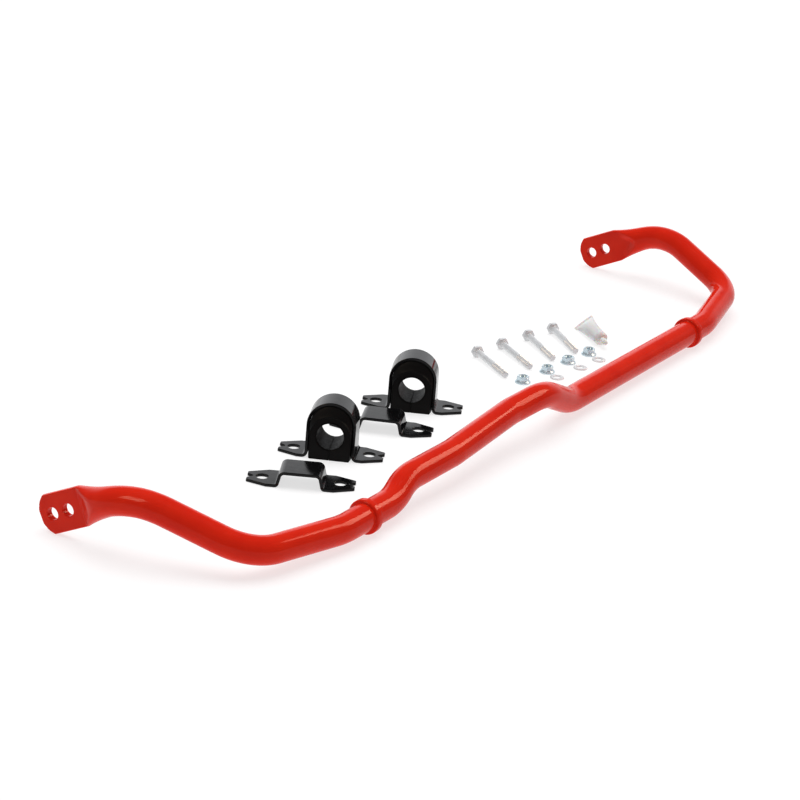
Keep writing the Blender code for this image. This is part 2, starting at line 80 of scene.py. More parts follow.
RING_SPACING = 3.0
SECTION_COUNT = 64
CORNER_ANGLES = (-4.6, -3.3, -2.1, -1.0, 0.0, 1.0, 2.1, 3.3)           # degrees about a blade's corner
TIP_STEPS = (0.0, 0.05, 0.12, 0.22, 0.34, 0.5)                         # sections on the rounded tip
CLIPPED_STEPS = (6.2, 7.0, 8.0, 9.0, 9.3, 9.7, 10.4)                   # and on the clipped corner
CREASE_STEPS = (-0.9, -0.45, 0.0, 0.45, 0.9, 1.5, 2.2, 3.0)            # and on the blade's crease
ARM_CORNERS = [                        # (x, y, z above the seats, bend radius)
    (401.0, 0.0, 0.0, 112.0),
    (519.5, 24.0, 6.7, 56.0),
    (558.0, 134.0, 47.9, 74.0),
    (553.0, 196.0, 19.5, 90.0),
]
CENTRE_CORNERS = [
    (-309.0, 0.0, 0.0, 73.0),
    (-278.3, 5.2, 12.7, 73.0),
    (-194.2, 0.7, 16.0, 63.0),
    (-69.8, 3.8, 23.9, 63.0),
    (-9.7, -4.1, 29.3, 73.0),
    (58.4, 0.0, 0.0, 73.0),
]

# Saddles, straps and bushes
SHEET = 3.2
SHEET_EDGE = 0.75                      # rounding of the pressed edges under their paint
EAR_HALF_LENGTH = 55.5
EAR_HALF_DEPTH = 19.5
EAR_CORNER = 34.6
EAR_TIP_HALF_DEPTH = 10.5
EAR_TIP_ROUNDING = 1.8
EAR_SHOULDER_ROUNDING = 5.0
EAR_HOLE_RADIUS = 6.3
EAR_HOLE_X = 40.0
NOTCH_DEPTH = 6.0
NOTCH_HALF_WIDTH = 4.6
NOTCH_ROOT_RADIUS = 1.5
NOTCH_OVERRUN = 3.0                    # the cutter reaches this far past the ear's tip
SADDLE_RADIUS = 26.0
SADDLE_ARCH_HEIGHT = 35.5
SADDLE_ARCH_HALF_DEPTH = 15.5
SADDLE_FOOT_RADIUS = 3.0
STRAP_HEIGHT = 17.0
STRAP_INNER_HALF_WIDTH = 19.3
STRAP_FLARE = 1.6
STRAP_BEND_RADIUS = 3.4
STRAP_FOOT_RADIUS = 1.4
STRAP_NARROWING = 1.0                  # from half the ears' depth to half the roof's
BUSH_HALF_LENGTH = 21.5
BUSH_BORE_HEIGHT = 26.0
BUSH_FACE_RADIUS = 21.6
BUSH_SHOULDER = 6.5
BUSH_CLEARANCE = 0.3                   # to its saddle and to the bench
BUSH_RIM_AT_BASE = 0.6                 # share of the rim's width that its base has
BUSH_HALF_SLIT = 0.05
BUSH_LIP = 0.35                        # rounding of the slit's edges
BUSH_CORNER = 1.5
BUSH_BORE_CHAMFER = 1.1
BUSH_RIM = 0.8                         # the end face lies this far inside a rim of the same width

# Fasteners, thread size M8
THREAD_RADIUS = 4.0
THREAD_PITCH = 1.25
THREAD_DEPTH = 0.42
THREAD_ROOT_FLAT = 0.12                # share of a pitch that is flat root
THREAD_FLANK = 0.72                    # share that is flank; the rest is flat crest
THREAD_STEPS = 8                       # sections along one pitch
THREAD_RUNOUT = 0.9                    # plain shank between its last section and the thread
BOLT_LENGTH = 70.0
BOLT_SHANK_RADIUS = 3.8
THREADED_LENGTH = 30.0
HEAD_HEIGHT = 5.3
HEAD_HALF_FLATS = 6.5
HEAD_DISH = 0.12                       # depth of the hollow in the head's outer face
HEAD_UNDERSIDE = ((0.75, 0.6), (0.25, 0.42))   # radius gained, distance from the underside
WASHER_FACE = ((6.15, 0.40), (6.1, 0.08), (6.0, 0.0), (4.8, 0.0))   # radius, distance from the underside
HEAD_FILLET = 0.6
HEAD_LIFT = 0.15                       # keeps a tilted head's lower edge off the bench
SHANK_START = 3.0                      # first plain section, from the head's underside
POINT_CHAMFER = 0.4
FACE_INSET = 0.35                      # a chamfered face ends this far inside the flats
CHAMFER_START = 0.05                   # first section of the head's chamfer
CHAMFER_STEP = 0.13                    # height between a chamfer's sections
NUT_HEIGHT = 8.0
NUT_HALF_FLATS = 6.3
NUT_FLANGE_RADIUS = 8.95
NUT_FLANGE_EDGE = ((-1.2, 0.0), (-0.35, 0.05), (-0.08, 0.25), (0.0, 0.55), (0.0, 1.3),
                   (-0.12, 1.6), (-0.4, 1.8))                          # radius gained, height
NUT_SLOPE_HEIGHT = 2.0
NUT_SLOPE_POWER = 0.85
NUT_BORE_RADIUS = 4.25
NUT_BORE_CHAMFER = 0.6
NUT_THREAD_INSET = 0.5
NUT_THREAD_RUNOUT = 0.8
NUT_THREAD_SECTIONS = 44
NUT_TURNS = {"nut_1": 12.0, "nut_2": 20.0, "nut_3": 8.0, "nut_4": 16.0}
WASHER_RADIUS = 8.0
WASHER_BORE_RADIUS = 4.3
WASHER_THICKNESS = 1.6
WASHER_ROLLED_EDGE = 0.4
WASHER_ROLLED_BORE = 0.35
WASHER_CRISP_EDGE = 0.12
CHAMFER_RISE = 1.73                    # radius gained per height on a 30 degree chamfer

# Grease tube
TUBE_AXIS_HEIGHT = 8.4
TUBE_RADIUS = 8.2
TUBE_LENGTH = 60.0
CRIMP_LENGTH = 5.0
CRIMP_HALF_WIDTH = 13.0
CRIMP_HALF_THICKNESS = 0.7
CRIMP_TILT = math.radians(37.0)
RIB_HEIGHT = 0.10
RIB_PITCH = 0.9
RIBS_START = 0.5
RIBS_END = 4.6
TUBE_END_ROUNDING = 0.5
SHOULDER_LENGTH = 5.0
SHOULDER_DOME = 3.6
SPOUT_RADIUS = 2.0
SPOUT_LENGTH = 9.0
CAP_RADIUS = 3.6
CAP_LENGTH = 11.0
CAP_GAP = 0.4
CAP_DOME_START = 7.6
CAP_RIDGES = 18
CAP_RIDGE_HEIGHT = 0.10

CAMERA_AZIMUTH = math.radians(-59.19)
CAMERA_ELEVATION = math.radians(20.81)
CAMERA_ROLL = math.radians(3.93)
CAMERA_DISTANCE = 2.931
CAMERA_AIM = Vector((-0.0961, 0.04935, 0.0214))
CAMERA_LENS = 122.13
CAMERA_SHIFT = 0.04055
PRINT_GAMMA = 0.9                      # a little more contrast than a plain exposure

# Studio: a floor that glows a little, a dim room, a backdrop and three lamps
FLOOR_HALF_SIZE = 9000.0
FLOOR_DROP = 0.0002
FLOOR_SHADE = 0.30
FLOOR_GLOW = 0.72
BACKDROP_SIDES = (0.5, 0.85)           # from the backdrop's ends to its full light
BACKDROP_TOP = (0.38, 0.45)            # sine of the height where it fades out
BACKDROP_LIGHT = 1.4
ROOM_LIGHT = 0.27
OVERHEAD_POWER = 2.5
OVERHEAD_SPREAD = math.radians(58)
OVERHEAD_LEAN = (0.15, 0.12)
SOFTBOX_TARGET = Vector((0.0, 0.0, 0.05))
SOFTBOXES = [                          # name, place, size and power
    ("left_softbox", (-1.92, 0.56, 1.43), (0.8, 0.8), 18.0),
    ("right_softbox", (0.91, -0.81, 0.96), (0.7, 0.56), 11.0),
]
SOFTBOX_COLOUR = (1.0, 0.8, 0.6)       # warm, and seen only in the gloss
BACKDROP_COLOUR = (0.97, 0.98, 1.0, 1.0)

BODIES = frame["record"]["behaviour"]["bodies"]
BODY_OF = {node: body for body, nodes in BODIES.items() for node in nodes}


# ------------------------------------------------------------------ helpers

def box_mm(node):
    low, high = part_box(node)
    return Vector(low) / MM, Vector(high) / MM


def node_middle(node):
    low, high = box_mm(node)
    return (low + high) / 2


SEAT_Y = node_middle("collar_left").y
SEAT_HEIGHT = node_middle("collar_left").z


def placed(x, y, z, angle):
    """Matrix in metres of a piece that lies at (x, y, z) mm, turned by an angle about z."""
    return Matrix.Translation(Vector((x, y, z)) * MM) @ Matrix.Rotation(angle, 4, "Z")


def make_object(name, builder, matrix=None):
    bmesh.ops.scale(builder, vec=(MM, MM, MM), verts=builder.verts)
    bmesh.ops.recalc_face_normals(builder, faces=builder.faces)
    mesh = bpy.data.meshes.new(name)
    builder.to_mesh(mesh)
    builder.free()
    item = bpy.data.objects.new(name, mesh)
    bpy.context.scene.collection.objects.link(item)
    if matrix:
        item.matrix_world = matrix
    return item


def carve(target, cutters):
    """Cut the cutters out of the target and remove them."""
    for cutter in cutters:
        boolean = target.modifiers.new("carve", "BOOLEAN")
        boolean.operation = "DIFFERENCE"
        boolean.solver = "EXACT"
        boolean.object = cutter
    bpy.context.view_layer.update()
    evaluated = target.evaluated_get(bpy.context.evaluated_depsgraph_get())
    mesh = bpy.data.meshes.new_from_object(evaluated)
    target.modifiers.clear()
    target.data = mesh
    for cutter in cutters:
        bpy.data.objects.remove(cutter)


def merge_flat_faces(builder, degrees):
    bmesh.ops.dissolve_limit(builder, angle_limit=math.radians(degrees),
                             verts=builder.verts, edges=builder.edges)


def soften(target, width, steps=3, angle=math.radians(40)):
    """Round every edge that turns by more than the angle."""
    builder = bmesh.new()
    builder.from_mesh(target.data)
    merge_flat_faces(builder, 0.5)
    sharp = [edge for edge in builder.edges if edge.is_manifold and edge.calc_face_angle(0) > angle]
    bmesh.ops.bevel(builder, geom=sharp, offset=width * MM, segments=steps, profile=0.5,
                    affect="EDGES", clamp_overlap=False)
    builder.to_mesh(target.data)
    builder.free()


def dress(piece, node, material, sharp_degrees=35.0, replaces=True):
    """Give a finished mesh its material, its shading and its place in the frame."""
    piece.data.materials.clear()
    piece.data.materials.append(material)
    piece.data.shade_smooth()
    piece.data.set_sharp_from_angle(angle=math.radians(sharp_degrees))
    weighted = piece.modifiers.new("even_shading", "WEIGHTED_NORMAL")
    weighted.keep_sharp = True
    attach(piece, BODY_OF[node])
    if replaces:
        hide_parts(node)


def skin(rings, loop=False):
    """Skin equal closed rings of points, capped at the ends or joined into a loop."""
    builder = bmesh.new()
    rows = [[builder.verts.new(point) for point in ring] for ring in rings]
    count = len(rows[0])
    pairs = list(zip(rows, rows[1:]))
    if loop:
        pairs.append((rows[-1], rows[0]))
    for first, second in pairs:
        for i in range(count):
            j = (i + 1) % count
            builder.faces.new((first[i], first[j], second[j], second[i]))
    if not loop:
        builder.faces.new(reversed(rows[0]))
        builder.faces.new(rows[-1])
    return builder


ROUND_COUNT = 72
ROUND_ANGLES = np.arange(ROUND_COUNT) * math.tau / ROUND_COUNT


def polar_ring(radius, z, angles=ROUND_ANGLES):
    radius = np.broadcast_to(radius, angles.shape)
    return [(r * math.cos(a), r * math.sin(a), z) for r, a in zip(radius, angles)]


def polar(stations, loop=False):
    """Solid about z from (radius, z) stations, where a radius may differ by angle."""
    return skin([polar_ring(radius, z) for radius, z in stations], loop)


def hexagon(half_flats, turn=0.0):
    """Radius of a hexagon at each angle, with one flat facing the turn."""
    sixth = math.tau / 6
    offset = (ROUND_ANGLES - turn + sixth / 2) % sixth - sixth / 2
    return half_flats / np.cos(offset)


def arc(centre, radius, start_degrees, end_degrees, steps):
    points = []
    for step in range(steps + 1):
        angle = math.radians(start_degrees + (end_degrees - start_degrees) * step / steps)
        points.append((centre[0] + radius * math.cos(angle), centre[1] + radius * math.sin(angle)))
    return points


# ---------------------------------------------------------------- materials

def noise(nodes, links, place, scale, detail):
    """Noise in the piece's own coordinates; scale is in cycles per metre."""
    texture = nodes.new("ShaderNodeTexNoise")
    texture.inputs["Scale"].default_value = scale
    texture.inputs["Detail"].default_value = detail
    links.new(place.outputs["Object"], texture.inputs["Vector"])
    return texture.outputs["Fac"]


def remap(nodes, links, source, low, high, start=0.3, end=0.7):
    node = nodes.new("ShaderNodeMapRange")
    node.inputs["From Min"].default_value = start
    node.inputs["From Max"].default_value = end
    node.inputs["To Min"].default_value = low
    node.inputs["To Max"].default_value = high
    links.new(source, node.inputs["Value"])
    return node.outputs["Result"]


def blend_colours(nodes, links, factor, first, second):
    node = nodes.new("ShaderNodeMix")
    node.data_type = "RGBA"
    for socket, value in ((node.inputs[6], first), (node.inputs[7], second)):
        if hasattr(value, "is_output"):
            links.new(value, socket)
        else:
            socket.default_value = (*value, 1.0)
    links.new(factor, node.inputs[0])
    return node.outputs[2]


def surface(name, colours, roughness, ripple, mottle=30.0, grain=None, wear_and_edge_sheen=None, **constants):
    """Procedural finish.

    colours: two shades that drift into each other; roughness: its lowest and highest value;
    ripple: (cycles per metre, height in mm) of the broad surface waviness; mottle: cycles per
    metre of the drift; grain: like ripple, for fine texture; wear: lighter colour of the
    outermost edges, for worn edges together with a painted edge highlight;
    constants: values for the shader's own sockets.
    """
    material = bpy.data.materials.new(name)
    material.use_nodes = True
    nodes = material.node_tree.nodes
    links = material.node_tree.links
    shader = nodes["Principled BSDF"]
    place = nodes.new("ShaderNodeTexCoord")
    drift = remap(nodes, links, noise(nodes, links, place, mottle, 4.0), 0.0, 1.0)
    colour = blend_colours(nodes, links, drift, colours[0], colours[1])
    # painted edge highlight: the outermost edges take a lighter colour, partly worn edges and partly painted
    # sheen
    if wear_and_edge_sheen:
        geometry = nodes.new("ShaderNodeNewGeometry")
        edge = remap(nodes, links, geometry.outputs["Pointiness"], 0.0, 0.5, 0.54, 0.66)
        colour = blend_colours(nodes, links, edge, colour, wear_and_edge_sheen)
    links.new(colour, shader.inputs["Base Color"])
    patches = noise(nodes, links, place, mottle * 6, 5.0)
    links.new(remap(nodes, links, patches, roughness[0], roughness[1]), shader.inputs["Roughness"])
    normal = None
    for layer in (ripple, grain):
        if layer is None:
            continue
        bump = nodes.new("ShaderNodeBump")
        bump.inputs["Strength"].default_value = 1.0
        bump.inputs["Distance"].default_value = layer[1] * MM
        links.new(noise(nodes, links, place, layer[0], 2.0), bump.inputs["Height"])
        if normal:
            links.new(normal, bump.inputs["Normal"])
        normal = bump.outputs["Normal"]
    links.new(normal, shader.inputs["Normal"])
    for socket, value in constants.items():
        shader.inputs[socket.replace("_", " ")].default_value = value
    return material


# The lighter edge colours below stand for worn edges and for a painted edge highlight.
RED = surface(
    "red_powder_coat", ((0.76, 0.030, 0.0085), (0.70, 0.022, 0.007)), (0.07, 0.14), (45, 0.14),
    grain=(650, 0.004), wear_and_edge_sheen=(0.80, 0.07, 0.035), Specular_IOR_Level=0.13)
BLACK = surface(
    "black_gloss_paint", ((0.003, 0.003, 0.0034), (0.005, 0.005, 0.0054)), (0.09, 0.16), (110, 0.03),
    grain=(800, 0.004), wear_and_edge_sheen=(0.02, 0.02, 0.022), Specular_IOR_Level=0.24)
RUBBER = surface(
    "bush_polymer", ((0.0050, 0.0050, 0.0050), (0.0075, 0.0073, 0.0070)), (0.42, 0.56), (160, 0.03),
    mottle=60.0, grain=(2600, 0.010), wear_and_edge_sheen=(0.015, 0.015, 0.015), Specular_IOR_Level=0.10)
BOLT_ZINC = surface(
    "bright_zinc", ((0.80, 0.81, 0.82), (0.72, 0.73, 0.74)), (0.30, 0.44), (220, 0.01),
    mottle=120.0, grain=(2500, 0.004), wear_and_edge_sheen=(0.90, 0.90, 0.90), Metallic=0.35)
NUT_ZINC = surface(
    "blue_zinc", ((0.70, 0.82, 0.88), (0.56, 0.69, 0.75)), (0.20, 0.34), (250, 0.012),
    mottle=150.0, grain=(2500, 0.004), wear_and_edge_sheen=(0.85, 0.92, 0.95), Metallic=0.55)
WASHER_ZINC = surface(
    "dull_zinc", ((0.82, 0.83, 0.84), (0.73, 0.74, 0.75)), (0.34, 0.50), (250, 0.01),
    mottle=200.0, grain=(3000, 0.006), wear_and_edge_sheen=(0.90, 0.90, 0.90), Metallic=0.3)
TUBE_PLASTIC = surface(
    "soft_tube", ((0.78, 0.78, 0.78), (0.72, 0.72, 0.72)), (0.30, 0.42), (70, 0.25),
    mottle=40.0, grain=(1500, 0.004), Subsurface_Weight=0.35, Subsurface_Scale=0.004,
    Transmission_Weight=0.06, IOR=1.45)
CAP_PLASTIC = surface(
    "moulded_cap", ((0.84, 0.83, 0.80), (0.79, 0.775, 0.74)), (0.25, 0.38), (120, 0.04),
    mottle=80.0, grain=(1800, 0.004), Subsurface_Weight=0.3, Subsurface_Scale=0.003, IOR=1.45)


# ------------------------------------------------------------------ the bar

def rounded_path(corners, spacing):
    """Centreline with an arc at every inner corner."""
    points = [Vector(corners[0][:3])]
    for before, corner, after in zip(corners, corners[1:], corners[2:]):
        vertex = Vector(corner[:3])
        back = (Vector(before[:3]) - vertex).normalized()
        ahead = (Vector(after[:3]) - vertex).normalized()
        turn = math.pi - back.angle(ahead)
        tangent_length = corner[3] * math.tan(turn / 2)
        start = vertex + back * tangent_length
        centre = vertex + (back + ahead).normalized() * corner[3] / math.cos(turn / 2)
        arm_in = start - centre
        arm_out = vertex + ahead * tangent_length - centre
        steps = max(4, round(corner[3] * turn / spacing))
        for step in range(steps + 1):
            angle = turn * step / steps
            swing = arm_in * math.sin(turn - angle) + arm_out * math.sin(angle)
            points.append(centre + swing / math.sin(turn))
    points.append(Vector(corners[-1][:3]))
    return points


def bar_centreline():
    blade_run = Vector((0.0, math.cos(BLADE_SLOPE), -math.sin(BLADE_SLOPE)))
    tip = Vector(ARM_CORNERS[-1][:3]) + blade_run * BLADE_LENGTH
    arm = ARM_CORNERS + [(*tip, 0.0)]
    left_arm = [(-x, y, z, radius) for x, y, z, radius in reversed(arm)]
    lift = Vector((0.0, SEAT_Y, SEAT_HEIGHT))
    return [point + lift for point in rounded_path(left_arm + CENTRE_CORNERS + arm, RING_SPACING)]


def bar_angles():
    """Angles round a section, closer together where the blade has its corners."""
    angles = [math.tau * i / SECTION_COUNT for i in range(SECTION_COUNT)]
    corner = math.atan2(BLADE_HALF_HEIGHT, BLADE_HALF_THICKNESS)
    for base in (corner, math.pi - corner, math.pi + corner, -corner):
        angles += [(base + math.radians(step)) % math.tau for step in CORNER_ANGLES]
    return np.array(sorted(angles))


BAR_ANGLES = bar_angles()


def blade_half_height(from_end):
    """Arc at the end, a straight clipped corner, then parallel edges."""
    arc_end = BLADE_END_RADIUS * (math.cos(BLADE_FLAT_ANGLE) - math.cos(BLADE_ARC_ANGLE))
    if from_end <= arc_end:
        to_centre = BLADE_END_RADIUS * math.cos(BLADE_FLAT_ANGLE) - from_end
        return math.sqrt(max(BLADE_END_RADIUS ** 2 - to_centre ** 2, 1.0))
    arc_height = BLADE_END_RADIUS * math.sin(BLADE_ARC_ANGLE)
    return min(BLADE_HALF_HEIGHT, arc_height + (from_end - arc_end) * BLADE_CORNER_RISE)


def die_rise(distance, height, length, power):
    """How far a forging die stands back from the blade's flat, past the end of the flat."""
    part = np.clip(distance / length, 0.0, 1.0)
    return height * (1.0 - (1.0 - part) ** power)


def bar_section(from_end, centre_x):
    """Radius at each angle: an oval bar pressed between an outer and an inner die.
    """
    across, up = np.cos(BAR_ANGLES), np.sin(BAR_ANGLES)
    if from_end > BLADE_LENGTH + NECK_LENGTH:
        return np.full(BAR_ANGLES.shape, BAR_RADIUS)
    ramp = min(1.0, max(0.0, (from_end - BLADE_LENGTH) / FLATTENING_LENGTH))
    half_height = BAR_RADIUS + (BLADE_HALF_HEIGHT - BAR_RADIUS) * (1.0 - ramp) ** 2
    if from_end < BLADE_LENGTH:
        half_height = blade_half_height(from_end)
    oval = 1.0 / np.sqrt((across / BAR_RADIUS) ** 2 + (up / half_height) ** 2)
    thickness = BLADE_HALF_THICKNESS
    tip_part = (from_end + BLADE_END_RADIUS * (1 - math.cos(BLADE_FLAT_ANGLE))) / TIP_ROUNDING
    if tip_part < 1.0:
        thickness *= math.sqrt(max(1.0 - (1.0 - tip_part) ** 2, 0.05))
    lean = centre_x - BLADE_X
    outer = thickness - lean + die_rise(from_end - BLADE_LENGTH, *OUTER_DIE)
    inner = thickness + lean
    crown = (oval * up / half_height) ** 2
    inner = inner + die_rise(from_end - INNER_DIE_START + INNER_DIE_CROWN * crown, *INNER_DIE)
    wall = np.where(across > 0, inner, outer)
    flat = wall / np.maximum(np.abs(across), 1e-4)
    power = EDGE_SHARPNESS
    return (oval ** -power + flat ** -power) ** (-1.0 / power)


def bar_stations(total):
    """Distances along the bar, close together at the blades' ends and creases."""
    start = -BLADE_END_RADIUS * (1 - math.cos(BLADE_FLAT_ANGLE)) + 0.03
    near = [start + step for step in TIP_STEPS]
    for degrees in range(12, 42, 2):
        near.append(BLADE_END_RADIUS * (math.cos(BLADE_FLAT_ANGLE) - math.cos(math.radians(degrees))))
    near += CLIPPED_STEPS
    near += [12.0 + 2.0 * step for step in range(20)]
    near += [BLADE_LENGTH + step for step in CREASE_STEPS]
    near += [BLADE_LENGTH + 4.0 + 1.2 * step for step in range(60)]
    reach = near[-1] + RING_SPACING
    middle = int((total - 2 * reach) / RING_SPACING)
    stations = near + [total - value for value in near]
    stations += [reach + (total - 2 * reach) * step / middle for step in range(middle + 1)]
    return sorted(stations)


def build_bar():
    points = bar_centreline()
    lengths = [0.0]
    for before, after in zip(points, points[1:]):
        lengths.append(lengths[-1] + (after - before).length)
    total = lengths[-1]
    rings = []
    for station in bar_stations(total):
        inside = min(max(station, 0.0), total)
        index = max(i for i in range(len(lengths) - 1) if lengths[i] <= inside)
        run = points[index + 1] - points[index]
        part = (station - lengths[index]) / (lengths[index + 1] - lengths[index])
        centre = points[index] + run * part
        before = points[index] - points[index - 1] if index > 0 else run
        after = points[index + 2] - points[index + 1] if index + 2 < len(points) else run
        first = (before.normalized() + run.normalized()).normalized()
        second = (run.normalized() + after.normalized()).normalized()
        here = first.lerp(second, min(max(part, 0.0), 1.0)).normalized()
        up = (Vector((0, 0, 1)) - here * here.z).normalized()
        across = up.cross(here)
        from_end = min(station, total - station)
        swell = min(1.0, max(0.0, (from_end - BLADE_LENGTH) / NECK_LENGTH))
        centre = centre - across * NECK_SWELL * math.sin(math.pi * swell) ** 2
        radii = bar_section(from_end, abs(centre.x))
        rings.append([centre + across * (r * math.cos(a)) + up * (r * math.sin(a))
                      for r, a in zip(radii, BAR_ANGLES)])
    bar = make_object("sway_bar_rod", skin(rings))
    cutters = []
    edge = [(LINK_HOLE_RADIUS + gain, BLADE_HALF_THICKNESS + past) for gain, past in LINK_HOLE_EDGE]
    bore = [(radius, -z) for radius, z in edge] + edge[::-1]
    for end, inward in ((points[0], points[1]), (points[-1], points[-2])):
        direction = (inward - end).normalized()
        for number in range(2):
            spot = end + direction * (LINK_HOLE_FROM_END + LINK_HOLE_SPACING * number)
            matrix = Matrix.Translation(spot * MM) @ Matrix.Rotation(math.radians(90), 4, "Y")
            cutters.append(make_object("link_hole", polar(bore), matrix))
    carve(bar, cutters)
    dress(bar, "bar", RED, 50.0)


def build_collars():
    """Rings pressed on beside the seats, with full rounded shoulders and a bead of paint."""
    edge = COLLAR_HALF_WIDTH - COLLAR_FILLET
    rim = COLLAR_RADIUS - COLLAR_FILLET
    shoulder = [(radius, z) for z, radius in arc((edge, rim), COLLAR_FILLET, 0, 90, 8)]
    bead = [(BAR_RADIUS + gain, COLLAR_HALF_WIDTH + past) for gain, past in PAINT_BEAD]
    half = bead + shoulder
    outline = half + [(radius, -z) for radius, z in reversed(half)]
    for side in ("left", "right"):
        middle = node_middle(f"collar_{side}")
        matrix = Matrix.Translation(middle * MM) @ Matrix.Rotation(math.radians(90), 4, "Y")
        collar = make_object(f"locating_collar_{side}", polar(outline, loop=True), matrix)
        dress(collar, f"collar_{side}", RED, 50.0)


# ------------------------------------------------- saddles, straps and bushes

def rounded_corner(before, corner, after, radius, steps=5):
    """Points of the arc that replaces a corner of a flat outline."""
    vertex = Vector(corner)
    back = (Vector(before) - vertex).normalized()
    ahead = (Vector(after) - vertex).normalized()
    turn = math.pi - back.angle(ahead)
    reach = radius * math.tan(turn / 2)
    centre = vertex + (back + ahead).normalized() * radius / math.cos(turn / 2)
    arm_in = vertex + back * reach - centre
    arm_out = vertex + ahead * reach - centre
    points = []
    for step in range(steps + 1):
        angle = turn * step / steps
        swing = arm_in * math.sin(turn - angle) + arm_out * math.sin(angle)
        points.append(centre + swing / math.sin(turn))
    return points


def ear_plan():
    """(distance from the middle, half depth) down one ear, from its tip inwards."""
    tip = (EAR_HALF_LENGTH, 0.0)
    tip_corner = (EAR_HALF_LENGTH, EAR_TIP_HALF_DEPTH)
    shoulder = (EAR_CORNER, EAR_HALF_DEPTH)
    root = (0.0, EAR_HALF_DEPTH)
    plan = rounded_corner(tip, tip_corner, shoulder, EAR_TIP_ROUNDING)
    plan += rounded_corner(tip_corner, shoulder, root, EAR_SHOULDER_ROUNDING)
    plan[0].x = EAR_HALF_LENGTH
    for before, point in zip(plan, plan[1:]):
        point.x = min(point.x, before.x - 0.02)
    return [(point.x, point.y) for point in plan]


def bent_sheet(name, half_line, node, matrix):
    """Painted sheet with two pierced and notched ears.

    half_line lists (x, z, half depth) of the sheet's lower side, from a tip to the middle.
    """
    line = half_line + [(-x, z, half) for x, z, half in reversed(half_line) if x > 0.01]
    count = len(line)
    rings = []
    for i, (x, z, half) in enumerate(line):
        here = Vector((x, z))
        before = Vector(line[max(i - 1, 0)][:2])
        after = Vector(line[min(i + 1, count - 1)][:2])
        first = (here - before).normalized() if i > 0 else (after - here).normalized()
        second = (after - here).normalized() if i < count - 1 else first
        normal = Vector((first.y + second.y, -(first.x + second.x))).normalized()
        normal *= SHEET / max(math.cos(first.angle(second) / 2), 0.5)
        top = here + normal
        rings.append([(x, -half, z), (x, half, z), (top.x, half, top.y), (top.x, -half, top.y)])
    sheet = make_object(name, skin(rings), matrix)
    builder = bmesh.new()
    builder.from_mesh(sheet.data)
    merge_flat_faces(builder, 0.3)
    builder.to_mesh(sheet.data)
    builder.free()
    cutters = []
    for side in (-1, 1):
        hole = [(EAR_HOLE_RADIUS, -SHEET), (EAR_HOLE_RADIUS, 2 * SHEET)]
        move = Matrix.Translation(Vector((side * EAR_HOLE_X, 0, 0)) * MM)
        cutters.append(make_object("ear_hole", polar(hole), matrix @ move))
        root = (EAR_HALF_LENGTH - NOTCH_DEPTH + NOTCH_ROOT_RADIUS, 0.0)
        swing = 0.9 * math.degrees(math.atan2(NOTCH_DEPTH, NOTCH_HALF_WIDTH))
        bend = arc(root, NOTCH_ROOT_RADIUS, 180 - swing, 180 + swing, 6)
        mouth = EAR_HALF_LENGTH + NOTCH_OVERRUN
        spread = NOTCH_HALF_WIDTH * (NOTCH_DEPTH + NOTCH_OVERRUN) / NOTCH_DEPTH
        plan = bend + [(mouth, -spread), (mouth, spread)]
        notch = skin([[(side * x, y, z) for x, y in plan] for z in (-SHEET, 2 * SHEET)])
        cutters.append(make_object("ear_notch", notch, matrix))
    carve(sheet, cutters)
    soften(sheet, SHEET_EDGE)
    dress(sheet, node, BLACK, 45.0)


def saddle_line():
    inner = SADDLE_RADIUS - SHEET
    foot = SADDLE_FOOT_RADIUS + SHEET
    line = [(x, 0.0, half) for x, half in ear_plan()]
    wall = arc((inner + foot, foot), foot, 270, 180, 10)
    wall += arc((0.0, SADDLE_ARCH_HEIGHT), inner, 0, 90, 28)
    for x, z in wall:
        rise = min(1.0, z / SADDLE_ARCH_HEIGHT)
        line.append((x, z, EAR_HALF_DEPTH + (SADDLE_ARCH_HALF_DEPTH - EAR_HALF_DEPTH) * rise))
    return line


def strap_line():
    inner = STRAP_INNER_HALF_WIDTH
    roof = STRAP_HEIGHT - SHEET
    foot = SHEET + STRAP_FOOT_RADIUS
    bend = STRAP_BEND_RADIUS
    line = [(x, 0.0, half) for x, half in ear_plan()]
    wall = arc((inner + STRAP_FLARE + foot, foot), foot, 270, 186, 9)
    wall += arc((inner - bend, roof - bend), bend, 6, 90, 9)
    for x, z in wall:
        part = min(1.0, z / foot)
        line.append((x, z, EAR_HALF_DEPTH - STRAP_NARROWING * part))
    line.append((0.0, roof, EAR_HALF_DEPTH - STRAP_NARROWING))
    return line


def bush_outline(body_part, inset):
    """D-shaped outline in (x, z), from the small face at 0 to the full body at 1."""
    full_width = SADDLE_RADIUS - SHEET - BUSH_CLEARANCE
    half_width = BUSH_FACE_RADIUS + (full_width - BUSH_FACE_RADIUS) * body_part - inset
    height = BUSH_BORE_HEIGHT + (SADDLE_ARCH_HEIGHT - BUSH_BORE_HEIGHT) * body_part
    base = BUSH_CLEARANCE + inset * BUSH_RIM_AT_BASE
    points = [(BUSH_HALF_SLIT, base + BUSH_LIP), (BUSH_HALF_SLIT + BUSH_LIP, base)]
    points += arc((half_width - BUSH_CORNER, base + BUSH_CORNER), BUSH_CORNER, 270, 360, 5)
    points += arc((0.0, height), half_width, 0, 180, 60)
    points += arc((-half_width + BUSH_CORNER, base + BUSH_CORNER), BUSH_CORNER, 180, 270, 5)
    points += [(-BUSH_HALF_SLIT - BUSH_LIP, base), (-BUSH_HALF_SLIT, base + BUSH_LIP)]
    return points


def bush_bore(radius):
    opening = math.degrees(math.asin((BUSH_HALF_SLIT + BUSH_LIP) / radius))
    lip = BUSH_BORE_HEIGHT - radius - BUSH_LIP
    bore = arc((0.0, BUSH_BORE_HEIGHT), radius, -90 - opening, -450 + opening, 72)
    return [(-BUSH_HALF_SLIT, lip)] + bore + [(BUSH_HALF_SLIT, lip)]


